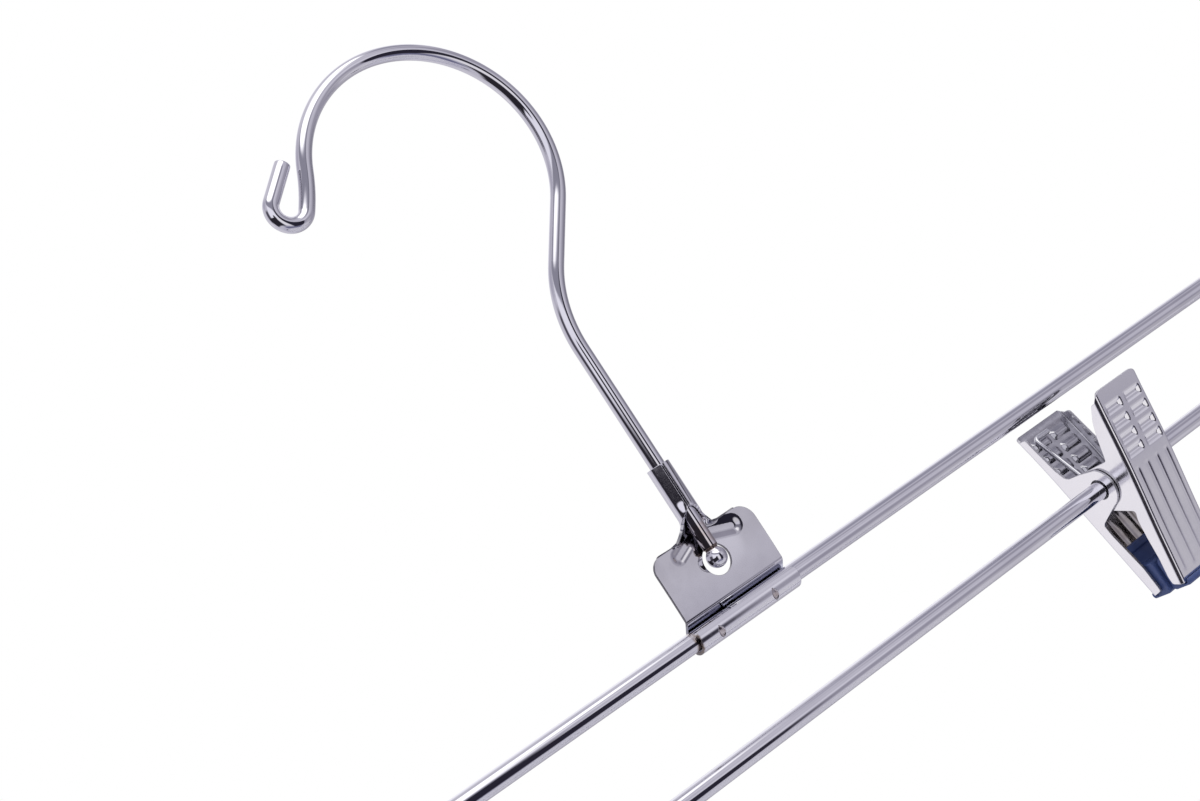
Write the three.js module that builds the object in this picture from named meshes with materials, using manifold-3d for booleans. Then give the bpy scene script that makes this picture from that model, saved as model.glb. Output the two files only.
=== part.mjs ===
// Clip hanger: a closed loop of chromed wire, a stamped bracket that carries a
// swivelling hook, and two sprung clips that slide and swing on the lower bar.
// Millimetres, +Z up, +X along the bars, the front of the hanger faces -Y.
import * as THREE from 'three';
import { mergeVertices } from 'three/addons/utils/BufferGeometryUtils.js';
import Module from 'manifold-3d';

const wasm = await Module();
wasm.setup();

// ---------------------------------------------------------------- dimensions
// Working frame: the top bar's axis is the X axis, the lower bar runs below it.

// frame wire
const FRAME_WIRE_D = 3.66;
const FRAME_WIDTH = 320; // over the round ends
const BAR_SPACING = 21.19; // between the axes of the two bars
const BUTT_X = -2.75; // where the wire's two ends meet, inside the sleeve
const BUTT_GAP = 0.3;

// hook
const HOOK_WIRE_D = 2.95;
const SHANK_X = -0.09;
const SHANK_Y = -2.25;
const SHANK_FOOT_Z = 12.1; // end of the full wire diameter
const BALL_Z = 10.1;
const BALL_R = 1.95;
const BALL_NECK_R = 1.25;
const HOOK_STRAIGHT_END_Z = 53.94;
const HOOK_LEAN_R = 25.47;
const HOOK_LEAN_DEG = 37.6;
const HOOK_LEAN_LINE = 12.94;
const HOOK_MAIN_R = 23.79;
const HOOK_MAIN_DEG = 192.08;
const HOOK_OUT_R = 38.92;
const HOOK_OUT_DEG = 11.35;
const HOOK_EYE_R = 3.15;
const HOOK_EYE_DEG = 190.9;
const HOOK_TIP_LINE = 7.6;

// bracket
const SHEET = 0.6;
const PLATE_FRONT_Y = -0.6;
const PLATE_X0 = -11.6;
const PLATE_X1 = 12.5;
const PLATE_TOP_Z = 15.7;
const PLATE_CORNER_R = 4.0;
const PLATE_BEND_Z = 3.4;
const HOLE_X = 0.68;
const HOLE_Z = 9.68;
const HOLE_R = 2.88;
const FERRULE_INNER_R = 1.65;
const FERRULE_Z0 = 19.4;
const FERRULE_Z1 = 29.2;
const SLEEVE_X0 = -12.4;
const SLEEVE_X1 = 12.5;
const SLEEVE_INNER_R = 2.0;
const SLEEVE_EDGE_Z = 1.2; // free edge at the front
const CRIMP_X = 6.75;

// clips
const CLIP_X = 91.15; // centre of the right clip on the lower bar
const LEVER_SHEET = 0.55;
const LEVER_TOP = { y: 12.8, z: 16.6 }; // outer top edge, from the bar's axis
const LEVER_SLOPE = 0.2107; // run of the outer face per unit of height
const LEVER_TIP_Z = -23.8;
const LEVER_CORNER_R = 1.4;
const BACK_WIDTH = 14.6;
const FRONT_WIDTH = 13.2;
const EAR_HOLE_R = 2.15;
const GRIP_ROWS = [3.85, 7.1, 10.3, 13.3]; // from the top edge along the lever
const GRIP_X = 2.95;
const GRIP_SIZE = { x: 4.2, v: 1.7, h: 0.25 };
const RIB_X = [-3, 0, 3];
const RIB_V = [17, 39.4];
const RIB_SIZE = { x: 1.5, h: 0.15 };

// springs
const SPRING_WIRE_D = 1.1;
const SPRING_R = 3.2; // mean radius of the coil
const SPRING_HALF = 4.5; // coil reaches this far each side of the clip's centre
const SPRING_FULL_TURNS = 7;
const SPRING_LEG = { y: 10.95, z: 14.4 };
const SPRING_TAIL = 4.2;

// jaw pads
const PAD_GAP = 0.12; // to the lever that carries it
const PAD_TOP_Z = -12.9;
const PAD_BAND_Z = -14.3;
const PAD_BLOCK_Z = -17.4;
const PAD_END_Z = -24.5;
const PAD_FACE_Y = 0.15;

// the part's origin: inside the hook, straight above the swivel axis
const ORIGIN = new THREE.Vector3(SHANK_X, SHANK_Y, 115.8);

// ------------------------------------------------------------------- helpers
const rad = THREE.MathUtils.degToRad;

// a closed three.js geometry as a solid that can be joined and cut
function solid(geometry) {
  const g = geometry.clone();
  g.deleteAttribute('normal');
  g.deleteAttribute('uv');
  const m = mergeVertices(g, 1e-4);
  return new wasm.Manifold(
    new wasm.Mesh({
      numProp: 3,
      vertProperties: new Float32Array(m.attributes.position.array),
      triVerts: new Uint32Array(m.index.array),
    }),
  );
}

function shape(manifold) {
  const m = manifold.getMesh();
  const g = new THREE.BufferGeometry();
  g.setAttribute('position', new THREE.BufferAttribute(new Float32Array(m.vertProperties), 3));
  g.setIndex(new THREE.BufferAttribute(new Uint32Array(m.triVerts), 1));
  g.computeVertexNormals();
  return g;
}

const join = (parts) => parts.reduce((a, b) => a.add(b));

// a curve through given stations, sampled exactly at them
class Stations extends THREE.Curve {
  constructor(points) {
    super();
    this.points = points;
  }
  getPointAt(u, target = new THREE.Vector3()) {
    const s = u * (this.points.length - 1);
    const i = Math.min(Math.floor(s + 1e-6), this.points.length - 2);
    return target.lerpVectors(this.points[i], this.points[i + 1], s - i);
  }
  getPoint(t, target) {
    return this.getPointAt(t, target);
  }
  getTangentAt(u, target = new THREE.Vector3()) {
    const p = this.points;
    const i = Math.round(u * (p.length - 1));
    const a = p[Math.max(i - 1, 0)];
    const b = p[Math.min(i + 1, p.length - 1)];
    const ab = new THREE.Vector3().subVectors(p[i], a);
    const bc = new THREE.Vector3().subVectors(b, p[i]);
    if (ab.lengthSq() > 0) ab.normalize();
    if (bc.lengthSq() > 0) bc.normalize();
    return target.addVectors(ab, bc).normalize();
  }
  getTangent(t, target) {
    return this.getTangentAt(t, target);
  }
}

// round wire along stations, with flat ends
function wire(points, diameter, sides) {
  const r = diameter / 2;
  const section = new THREE.Shape();
  for (let i = 0; i < sides; i++) {
    const a = (i / sides) * 2 * Math.PI;
    if (i === 0) section.moveTo(r * Math.cos(a), r * Math.sin(a));
    else section.lineTo(r * Math.cos(a), r * Math.sin(a));
  }
  section.closePath();
  return new THREE.ExtrudeGeometry(section, {
    steps: points.length - 1,
    extrudePath: new Stations(points),
    bevelEnabled: false,
  });
}

function polygon(points) {
  const s = new THREE.Shape();
  points.forEach(([x, y], i) => (i ? s.lineTo(x, y) : s.moveTo(x, y)));
  s.closePath();
  return s;
}

// outline in (Y, Z), extruded along X from x0 to x1
function acrossX(outline, x0, x1) {
  const g = new THREE.ExtrudeGeometry(outline, { depth: x1 - x0, bevelEnabled: false, curveSegments: 6 });
  g.applyMatrix4(
    new THREE.Matrix4().makeBasis(
      new THREE.Vector3(0, 1, 0),
      new THREE.Vector3(0, 0, 1),
      new THREE.Vector3(1, 0, 0),
    ),
  );
  return g.translate(x0, 0, 0);
}

// outline in (X, Z), extruded along -Y from y1 down to y0
function acrossY(outline, y0, y1, curveSegments = 6) {
  const g = new THREE.ExtrudeGeometry(outline, { depth: y1 - y0, bevelEnabled: false, curveSegments });
  g.applyMatrix4(
    new THREE.Matrix4().makeBasis(
      new THREE.Vector3(1, 0, 0),
      new THREE.Vector3(0, 0, 1),
      new THREE.Vector3(0, -1, 0),
    ),
  );
  return g.translate(0, y1, 0);
}

const cylinderX = (r, x0, x1, sides) =>
  new THREE.CylinderGeometry(r, r, x1 - x0, sides).rotateZ(-Math.PI / 2).translate((x0 + x1) / 2, 0, 0);

function material(color, roughness, metalness) {
  return new THREE.MeshStandardMaterial({ color, roughness, metalness });
}

const hanger = new THREE.Group();
hanger.position.copy(ORIGIN).negate();

function piece(name, geometry, mat, parent = hanger) {
  const mesh = new THREE.Mesh(geometry, mat);
  mesh.name = name;
  parent.add(mesh);
  return mesh;
}

// ---------------------------------------------------------------- frame wire
{
  const r = BAR_SPACING / 2;
  const cx = FRAME_WIDTH / 2 - FRAME_WIRE_D / 2 - r;
  const pts = [new THREE.Vector3(BUTT_X + BUTT_GAP / 2, 0, 0)];
  const n = 12;
  for (let i = 0; i <= n; i++) {
    const a = Math.PI / 2 - (i / n) * Math.PI;
    pts.push(new THREE.Vector3(cx + r * Math.cos(a), 0, -r + r * Math.sin(a)));
  }
  for (let i = 0; i <= n; i++) {
    const a = -Math.PI / 2 - (i / n) * Math.PI;
    pts.push(new THREE.Vector3(-cx + r * Math.cos(a), 0, -r + r * Math.sin(a)));
  }
  pts.push(new THREE.Vector3(BUTT_X - BUTT_GAP / 2, 0, 0));
  piece('frame_wire', wire(pts, FRAME_WIRE_D, 12), material(0xc9c8d0, 0.08, 1));
}

// ---------------------------------------------------------------------- hook
{
  // centreline in the X-Z plane as a chain of tangent lines and arcs
  const pts = [];
  let x = SHANK_X;
  let z = SHANK_FOOT_Z - 0.25;
  let h = Math.PI / 2;
  const put = () => pts.push(new THREE.Vector3(x, SHANK_Y, z));
  const line = (length) => {
    x += length * Math.cos(h);
    z += length * Math.sin(h);
    put();
  };
  const arc = (radius, degrees, steps) => {
    const s = Math.sign(degrees);
    const c = [x - s * radius * Math.sin(h), z + s * radius * Math.cos(h)];
    const h0 = h;
    for (let i = 1; i <= steps; i++) {
      h = h0 + (rad(degrees) * i) / steps;
      x = c[0] + s * radius * Math.sin(h);
      z = c[1] - s * radius * Math.cos(h);
      put();
    }
  };
  put();
  line(HOOK_STRAIGHT_END_Z - z);
  arc(HOOK_LEAN_R, -HOOK_LEAN_DEG, 5);
  line(HOOK_LEAN_LINE);
  arc(HOOK_MAIN_R, HOOK_MAIN_DEG, 26);
  arc(HOOK_OUT_R, -HOOK_OUT_DEG, 3);
  arc(HOOK_EYE_R, -HOOK_EYE_DEG, 14);
  line(HOOK_TIP_LINE);
  const rod = solid(wire(pts, HOOK_WIRE_D, 12));

  // upset ball on a short neck at the foot of the shank
  const profile = [new THREE.Vector2(0, BALL_Z - BALL_R)];
  const a1 = Math.asin(Math.sqrt(1 - (BALL_NECK_R / BALL_R) ** 2));
  for (let i = 1; i <= 8; i++) {
    const a = -Math.PI / 2 + (i / 8) * (Math.PI / 2 + a1);
    profile.push(new THREE.Vector2(BALL_R * Math.cos(a), BALL_Z + BALL_R * Math.sin(a)));
  }
  profile.push(new THREE.Vector2(BALL_NECK_R, SHANK_FOOT_Z + 0.4), new THREE.Vector2(0, SHANK_FOOT_Z + 0.4));
  const ball = new THREE.LatheGeometry(profile, 16).rotateX(Math.PI / 2).translate(SHANK_X, SHANK_Y, 0);
  piece('hook', shape(rod.add(solid(ball))), material(0xcfced6, 0.07, 1));
}

// ------------------------------------------------------------------- bracket
{
  const back = PLATE_FRONT_Y + SHEET;
  const neck = 3.9;

  // flat plate with rounded top corners, a short neck and the round hole
  const plate = new THREE.Shape();
  plate.moveTo(PLATE_X0, PLATE_BEND_Z - 0.1);
  plate.lineTo(PLATE_X1, PLATE_BEND_Z - 0.1);
  plate.lineTo(PLATE_X1, PLATE_TOP_Z - PLATE_CORNER_R);
  plate.absarc(PLATE_X1 - PLATE_CORNER_R, PLATE_TOP_Z - PLATE_CORNER_R, PLATE_CORNER_R, 0, Math.PI / 2, false);
  plate.lineTo(SHANK_X + neck + 1.2, PLATE_TOP_Z);
  plate.lineTo(SHANK_X + neck - 0.6, PLATE_TOP_Z + 0.6);
  plate.lineTo(SHANK_X + 1.9, FERRULE_Z0 - 0.4);
  plate.lineTo(SHANK_X - 1.9, FERRULE_Z0 - 0.4);
  plate.lineTo(SHANK_X - neck + 0.6, PLATE_TOP_Z + 0.6);
  plate.lineTo(SHANK_X - neck - 1.2, PLATE_TOP_Z);
  plate.lineTo(PLATE_X0 + PLATE_CORNER_R, PLATE_TOP_Z);
  plate.absarc(PLATE_X0 + PLATE_CORNER_R, PLATE_TOP_Z - PLATE_CORNER_R, PLATE_CORNER_R, Math.PI / 2, Math.PI, false);
  plate.closePath();
  const hole = new THREE.Path();
  hole.absarc(HOLE_X, HOLE_Z, HOLE_R, 0, 2 * Math.PI, true);
  plate.holes.push(hole);
  const body = [solid(acrossY(plate, PLATE_FRONT_Y, back, 10))];

  // rolled neck: a trough behind the shank that closes into a ferrule with its seam in front
  const trough = (z0, z1, openDeg, inner, outer) => {
    const half = rad(openDeg) / 2;
    const a0 = -Math.PI / 2 + half;
    const a1 = (3 * Math.PI) / 2 - half;
    const n = Math.max(8, Math.round(((a1 - a0) / (2 * Math.PI)) * 18));
    const pts = [];
    for (let i = 0; i <= n; i++) {
      const a = a0 + ((a1 - a0) * i) / n;
      pts.push([outer * Math.cos(a), outer * Math.sin(a)]);
    }
    for (let i = n; i >= 0; i--) {
      const a = a0 + ((a1 - a0) * i) / n;
      pts.push([inner * Math.cos(a), inner * Math.sin(a)]);
    }
    const g = new THREE.ExtrudeGeometry(polygon(pts), { depth: z1 - z0, bevelEnabled: false });
    return solid(g.translate(SHANK_X, SHANK_Y, z0));
  };
  const outer = FERRULE_INNER_R + SHEET;
  body.push(trough(FERRULE_Z0, FERRULE_Z1, 12, FERRULE_INNER_R, outer));
  body.push(trough(17.6, FERRULE_Z0 + 0.2, 120, FERRULE_INNER_R, outer));
  body.push(trough(15.4, 17.8, 190, FERRULE_INNER_R, outer));

  // lower edge: jogs back from the plate, then rolls behind, under and up the front of the top bar
  const rm = SLEEVE_INNER_R + SHEET / 2;
  const py = PLATE_FRONT_Y + SHEET / 2;
  const d = Math.hypot(py, PLATE_BEND_Z);
  const aTouch = Math.atan2(PLATE_BEND_Z, py) - Math.acos(rm / d);
  const aEnd = -Math.PI - Math.asin(SLEEVE_EDGE_Z / rm);
  const line = [
    [py, PLATE_BEND_Z + 1.2],
    [py, PLATE_BEND_Z],
  ];
  const arcSteps = 20;
  for (let i = 0; i <= arcSteps; i++) {
    const a = aTouch + ((aEnd - aTouch) * i) / arcSteps;
    line.push([rm * Math.cos(a), rm * Math.sin(a)]);
  }
  const left = [];
  const right = [];
  line.forEach((p, i) => {
    const a = line[Math.max(i - 1, 0)];
    const b = line[Math.min(i + 1, line.length - 1)];
    const u1 = new THREE.Vector2(p[0] - a[0], p[1] - a[1]);
    const u2 = new THREE.Vector2(b[0] - p[0], b[1] - p[1]);
    if (u1.lengthSq() > 0) u1.normalize();
    if (u2.lengthSq() > 0) u2.normalize();
    const t = u1.clone().add(u2).normalize();
    const ref = u1.lengthSq() > 0 ? u1 : u2;
    const k = SHEET / 2 / Math.max(t.dot(ref), 0.5);
    left.push([p[0] - t.y * k, p[1] + t.x * k]);
    right.push([p[0] + t.y * k, p[1] - t.x * k]);
  });
  let sleeve = solid(acrossX(polygon([...right, ...left.reverse()]), SLEEVE_X0, SLEEVE_X1));
  for (const x of [-CRIMP_X, CRIMP_X]) {
    const dent = new THREE.SphereGeometry(1, 12, 8).scale(0.55, 0.6, 1.05).translate(x, -2.95, -1.1);
    sleeve = sleeve.subtract(solid(dent));
  }
  body.push(sleeve);
  piece('bracket', shape(join(body)), material(0xb9b8c2, 0.1, 1));
}

// --------------------------------------------------------------------- clips
const faceY = (z) => LEVER_TOP.y - LEVER_SLOPE * (LEVER_TOP.z - z);
const lean = Math.atan(LEVER_SLOPE);
const webY = LEVER_SHEET / Math.cos(lean); // the web's thickness along Y

// Both levers are drawn on the +Y side; the front one is then turned half round the Z axis.
function lever(width, freeEdge, ear) {
  const length = (LEVER_TOP.z - LEVER_TIP_Z) / Math.cos(lean);
  const w = width / 2;

  // frame of the web: X across, u up along the lever, the third axis into the clip
  const u = new THREE.Vector3(0, Math.sin(lean), Math.cos(lean));
  const ex = new THREE.Vector3(1, 0, 0);
  const place = new THREE.Matrix4()
    .makeBasis(ex, u, new THREE.Vector3().crossVectors(ex, u))
    .setPosition(0, LEVER_TOP.y, LEVER_TOP.z);

  const web = new THREE.Shape();
  web.moveTo(-w, -length);
  web.lineTo(w, -length);
  web.lineTo(w, -LEVER_CORNER_R);
  web.absarc(w - LEVER_CORNER_R, -LEVER_CORNER_R, LEVER_CORNER_R, 0, Math.PI / 2, false);
  web.absarc(-w + LEVER_CORNER_R, -LEVER_CORNER_R, LEVER_CORNER_R, Math.PI / 2, Math.PI, false);
  web.closePath();
  const parts = [
    solid(
      new THREE.ExtrudeGeometry(web, { depth: LEVER_SHEET, bevelEnabled: false, curveSegments: 4 }).applyMatrix4(place),
    ),
  ];

  // finger grips pressed into the outer face, which stand out of the inner one, and raised stiffening ribs
  const block = (x, v, sx, sv, d0, d1) =>
    solid(new THREE.BoxGeometry(sx, sv, d1 - d0).translate(x, -v, (d0 + d1) / 2).applyMatrix4(place));
  const pressed = [];
  for (const v of GRIP_ROWS) {
    for (const x of [-GRIP_X, GRIP_X]) {
      parts.push(block(x, v, GRIP_SIZE.x, GRIP_SIZE.v, 0.3, LEVER_SHEET + GRIP_SIZE.h));
      pressed.push(block(x, v, GRIP_SIZE.x - 0.5, GRIP_SIZE.v - 0.5, -0.2, GRIP_SIZE.h));
    }
  }
  for (const x of RIB_X) {
    parts.push(block(x, (RIB_V[0] + RIB_V[1]) / 2, RIB_SIZE.x, RIB_V[1] - RIB_V[0], -RIB_SIZE.h, 0.2));
  }

  // side flanges with the ears that ride on the bar
  const inset = 0.05; // keeps the flange's outline inside the web's outer face
  const outline = [
    [faceY(15.3) - inset, 15.3],
    ...freeEdge.top,
    ...ear,
    ...freeEdge.bottom,
    [faceY(LEVER_TIP_Z + 0.1) - inset, LEVER_TIP_Z + 0.1],
  ];
  for (const s of [-1, 1]) {
    const x0 = s < 0 ? -w : w - LEVER_SHEET;
    parts.push(solid(acrossX(polygon(outline), x0, x0 + LEVER_SHEET)));
  }
  let g = join(parts).subtract(solid(cylinderX(EAR_HOLE_R, -w - 1, w + 1, 20)));
  for (const b of pressed) g = g.subtract(b);
  return g;
}

function arcPoints(r, fromDeg, toDeg, steps) {
  const out = [];
  for (let i = 0; i <= steps; i++) {
    const a = rad(fromDeg + ((toDeg - fromDeg) * i) / steps);
    out.push([r * Math.cos(a), r * Math.sin(a)]);
  }
  return out;
}

const backLever = () =>
  lever(
    BACK_WIDTH,
    {
      top: [
        [10.75, 15.2],
        [9.6, 11.83],
        [8.15, 7.2],
        [7.4, 5.5],
        [6.1, 4.6],
      ],
      bottom: [
        [4.3, -6.45],
        [4.77, -7.1],
        [4.4, -9.5],
        [3.15, -14],
        [2.3, -17.8],
        [1.7, -22.2],
        [1.75, -23.3],
        [2.3, -23.7],
      ],
    },
    [[2.4, 4.4], ...arcPoints(4.2, 100, 256, 10)],
  );

const frontLever = () =>
  lever(
    FRONT_WIDTH,
    {
      top: [
        [10.6, 15.2],
        [8.5, 12.43],
        [7.1, 9.62],
        [5.95, 6.47],
        [5.2, 4.5],
      ],
      bottom: [
        [4.4, -6.75],
        [3.7, -8.6],
        [2.95, -12.8],
        [2.5, -17.3],
        [1.75, -21.3],
        [1.7, -23.2],
        [2.3, -23.7],
      ],
    },
    [[2.4, 4.35], ...arcPoints(5, 119, 241, 10), [-1, -4.9]],
  );

// torsion spring: leg from the front handle, coil round the bar, leg to the back handle
function spring() {
  const pts = [];
  const dist = Math.hypot(SPRING_LEG.y, SPRING_LEG.z);
  const touch = Math.atan2(SPRING_LEG.z, SPRING_LEG.y) - Math.acos(SPRING_R / dist);
  const a0 = Math.PI - touch; // front leg meets the coil
  const a1 = touch + 2 * Math.PI * (SPRING_FULL_TURNS + 1);
  const bend = 0.7;
  const p = (x, y, z) => pts.push(new THREE.Vector3(x, y, z));
  const down = new THREE.Vector2(SPRING_R * Math.cos(a0) + SPRING_LEG.y, SPRING_R * Math.sin(a0) - SPRING_LEG.z);
  down.normalize();
  p(SPRING_HALF - SPRING_TAIL, -SPRING_LEG.y, SPRING_LEG.z);
  p(SPRING_HALF - bend, -SPRING_LEG.y, SPRING_LEG.z);
  p(SPRING_HALF - 0.25 * bend, -SPRING_LEG.y + down.x * 0.25 * bend, SPRING_LEG.z + down.y * 0.25 * bend);
  p(SPRING_HALF, -SPRING_LEG.y + down.x * bend, SPRING_LEG.z + down.y * bend);
  const n = Math.round(((a1 - a0) / (2 * Math.PI)) * 11);
  for (let i = 0; i <= n; i++) {
    const a = a0 + ((a1 - a0) * i) / n;
    p(SPRING_HALF - (2 * SPRING_HALF * i) / n, SPRING_R * Math.cos(a), SPRING_R * Math.sin(a));
  }
  p(-SPRING_HALF, SPRING_LEG.y + down.x * -bend, SPRING_LEG.z + down.y * bend);
  p(-SPRING_HALF + 0.25 * bend, SPRING_LEG.y - down.x * 0.25 * bend, SPRING_LEG.z + down.y * 0.25 * bend);
  p(-SPRING_HALF + bend, SPRING_LEG.y, SPRING_LEG.z);
  p(-SPRING_HALF + SPRING_TAIL, SPRING_LEG.y, SPRING_LEG.z);
  return wire(pts, SPRING_WIRE_D, 6);
}

// soft jaw pad on the +Y side: a thin tongue up the lever, a thick gripping block and a lip round the lever's end
function jawPad(width) {
  const on = (z) => faceY(z) - webY - PAD_GAP;
  const outline = [
    [on(PAD_TOP_Z), PAD_TOP_Z],
    [on(PAD_TOP_Z) - 1.3, PAD_TOP_Z - 0.1],
    [on(PAD_BAND_Z) - 1.3, PAD_BAND_Z],
    [on(PAD_BAND_Z) - 0.9, PAD_BAND_Z - 0.2],
    [on(PAD_BLOCK_Z) - 0.9, PAD_BLOCK_Z + 0.2],
    [0.8, PAD_BLOCK_Z - 0.1],
    [PAD_FACE_Y, PAD_BLOCK_Z - 1.2],
    [PAD_FACE_Y, PAD_END_Z + 0.6],
    [0.75, PAD_END_Z],
    [5.1, PAD_END_Z],
    [5.35, PAD_END_Z + 0.5],
    [5.3, PAD_END_Z + 1.2],
    [4.65, PAD_END_Z + 1.2],
    [4.55, LEVER_TIP_Z - 0.15],
    [on(LEVER_TIP_Z), LEVER_TIP_Z - 0.15],
  ];
  let g = solid(acrossX(polygon(outline), -width / 2, width / 2));
  for (const s of [-1, 1]) {
    const cut = new THREE.BoxGeometry(2.4, 8, PAD_BAND_Z - PAD_BLOCK_Z - 0.2).translate(
      s * (width / 2),
      4,
      (PAD_BAND_Z + PAD_BLOCK_Z) / 2,
    );
    g = g.subtract(solid(cut));
  }
  return g;
}

const halfTurn = (manifold) => shape(manifold).rotateZ(Math.PI);

for (const [side, x] of [
  ['right', CLIP_X],
  ['left', -CLIP_X],
]) {
  const clip = new THREE.Group();
  clip.position.set(x, 0, -BAR_SPACING);
  hanger.add(clip);
  piece(`${side}_back_lever`, shape(backLever()), material(0xd6d4de, 0.1, 1), clip);
  piece(`${side}_front_lever`, halfTurn(frontLever()), material(0xd0ced9, 0.1, 1), clip);
  piece(`${side}_spring`, spring(), material(0xb4b4b8, 0.2, 1), clip);
  piece(`${side}_back_pad`, shape(jawPad(BACK_WIDTH - 2 * LEVER_SHEET - 0.6)), material(0x2c3a6b, 0.45, 0), clip);
  piece(`${side}_front_pad`, halfTurn(jawPad(FRONT_WIDTH - 2 * LEVER_SHEET - 0.6)), material(0x2c3a6b, 0.45, 0), clip);
}

export default hanger;
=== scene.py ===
import math

import bpy
import numpy as np
from mathutils import Matrix, Vector
from mathutils.geometry import delaunay_2d_cdt


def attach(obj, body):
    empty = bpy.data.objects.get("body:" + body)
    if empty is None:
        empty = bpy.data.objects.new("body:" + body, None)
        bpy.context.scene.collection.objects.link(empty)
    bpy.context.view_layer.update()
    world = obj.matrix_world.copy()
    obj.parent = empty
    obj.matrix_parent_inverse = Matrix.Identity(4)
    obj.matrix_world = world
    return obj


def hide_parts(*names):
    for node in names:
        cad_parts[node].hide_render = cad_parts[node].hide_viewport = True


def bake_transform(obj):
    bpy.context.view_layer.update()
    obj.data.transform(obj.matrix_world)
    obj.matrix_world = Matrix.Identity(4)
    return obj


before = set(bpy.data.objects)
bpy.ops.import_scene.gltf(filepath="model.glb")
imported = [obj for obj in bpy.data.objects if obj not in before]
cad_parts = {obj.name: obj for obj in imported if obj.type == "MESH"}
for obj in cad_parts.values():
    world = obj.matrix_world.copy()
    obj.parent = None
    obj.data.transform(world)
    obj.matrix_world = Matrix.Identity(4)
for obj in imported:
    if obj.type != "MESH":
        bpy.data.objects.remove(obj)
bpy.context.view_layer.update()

# ------------------------------------------------------------------ dimensions
# Millimetres in the working frame: the top bar's axis is the X axis, Z is up
# along the hook's shank and the front of the hanger faces -Y.
ORIGIN = np.array([-0.09, -2.25, 115.8])

BAR_R = 1.83
BAR_SPACING = 21.19
FRAME_WIDTH = 320.0
BUTT_X, BUTT_GAP = -2.75, 0.3

HOOK_R = 1.475
SHANK_X, SHANK_Y = -0.09, -2.25

SHEET = 0.6
PLATE_Y = -0.3
BEND_RADIUS = 0.7
BEND_Z = 3.707
SLEEVE_R = 2.3
FERRULE_R = 1.95
FERRULE_TOP = 29.2

CLIP_X = 91.15
LEVER_SHEET = 0.55
FOLD_R = 0.95
LEAN = math.atan(0.2107)
LEVER_TOP = (12.9, 16.6)
LEVER_LEN = 41.29
BACK_WIDTH = 14.6
FRONT_WIDTH = 13.2
FRONT_SET = -0.2
EAR_HOLE_R = 2.15

SPRING_WIRE_R = 0.55
SPRING_R = 3.2
SPRING_HALF = 4.5
SPRING_LEG = (11.1, 14.4)
SPRING_TAIL = 4.2
SPRING_TURNS = 8

rad = math.radians


def row(p):
    return (np.asarray(p, float) - ORIGIN) * 1e-3


# ------------------------------------------------------------------- materials
class Nodes:
    """Small helper that builds node trees from expressions."""

    def __init__(self, tree):
        self.tree = tree
        tree.nodes.clear()

    def new(self, kind, **props):
        n = self.tree.nodes.new(kind)
        for k, v in props.items():
            setattr(n, k, v)
        return n

    def link(self, a, b):
        self.tree.links.new(a, b)

    def feed(self, socket, value):
        if isinstance(value, bpy.types.NodeSocket):
            self.link(value, socket)
        else:
            socket.default_value = value

    def math(self, op, a, b=None, c=None):
        n = self.new("ShaderNodeMath", operation=op)
        for i, v in enumerate((a, b, c)):
            if v is not None:
                self.feed(n.inputs[i], v)
        return n.outputs[0]

    def ramp(self, value, lo, hi, out0=0.0, out1=1.0, kind="SMOOTHSTEP"):
        n = self.new("ShaderNodeMapRange", interpolation_type=kind, clamp=True)
        self.feed(n.inputs["Value"], value)
        n.inputs["From Min"].default_value = lo
        n.inputs["From Max"].default_value = hi
        n.inputs["To Min"].default_value = out0
        n.inputs["To Max"].default_value = out1
        return n.outputs["Result"]

    def mix(self, mask, a, b):
        n = self.new("ShaderNodeMix", data_type="RGBA", blend_type="MIX")
        self.feed(n.inputs[0], mask)
        self.feed(n.inputs[6], a)
        self.feed(n.inputs[7], b)
        return n.outputs[2]

    def noise(self, coords, scale, detail=2.0, rough=0.5):
        n = self.new("ShaderNodeTexNoise")
        self.link(coords, n.inputs["Vector"])
        n.inputs["Scale"].default_value = scale
        n.inputs["Detail"].default_value = detail
        n.inputs["Roughness"].default_value = rough
        return n.outputs["Fac"]


def material(name):
    m = bpy.data.materials.new(name)
    m.use_nodes = True
    return m, Nodes(m.node_tree)


def rgb(r, g, b):
    return (r, g, b, 1.0)


def mark(n, name):
    """A number stored on the mesh: 1 on the part of a piece the name says, 0 elsewhere."""
    return n.new("ShaderNodeAttribute", attribute_name=name).outputs["Fac"]


def working_frame(n, coords):
    """Object coordinates in millimetres of the working frame, as X, Y, Z."""
    m = n.new("ShaderNodeMapping")
    n.link(coords, m.inputs["Vector"])
    m.inputs["Scale"].default_value = (1000.0, 1000.0, 1000.0)
    m.inputs["Location"].default_value = tuple(ORIGIN)
    sep = n.new("ShaderNodeSeparateXYZ")
    n.link(m.outputs[0], sep.inputs[0])
    return sep.outputs


def between(n, v, lo, hi, soft):
    return n.math("MULTIPLY", n.ramp(v, lo - soft, lo + soft), n.ramp(v, hi - soft, hi + soft, 1.0, 0.0))


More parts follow.
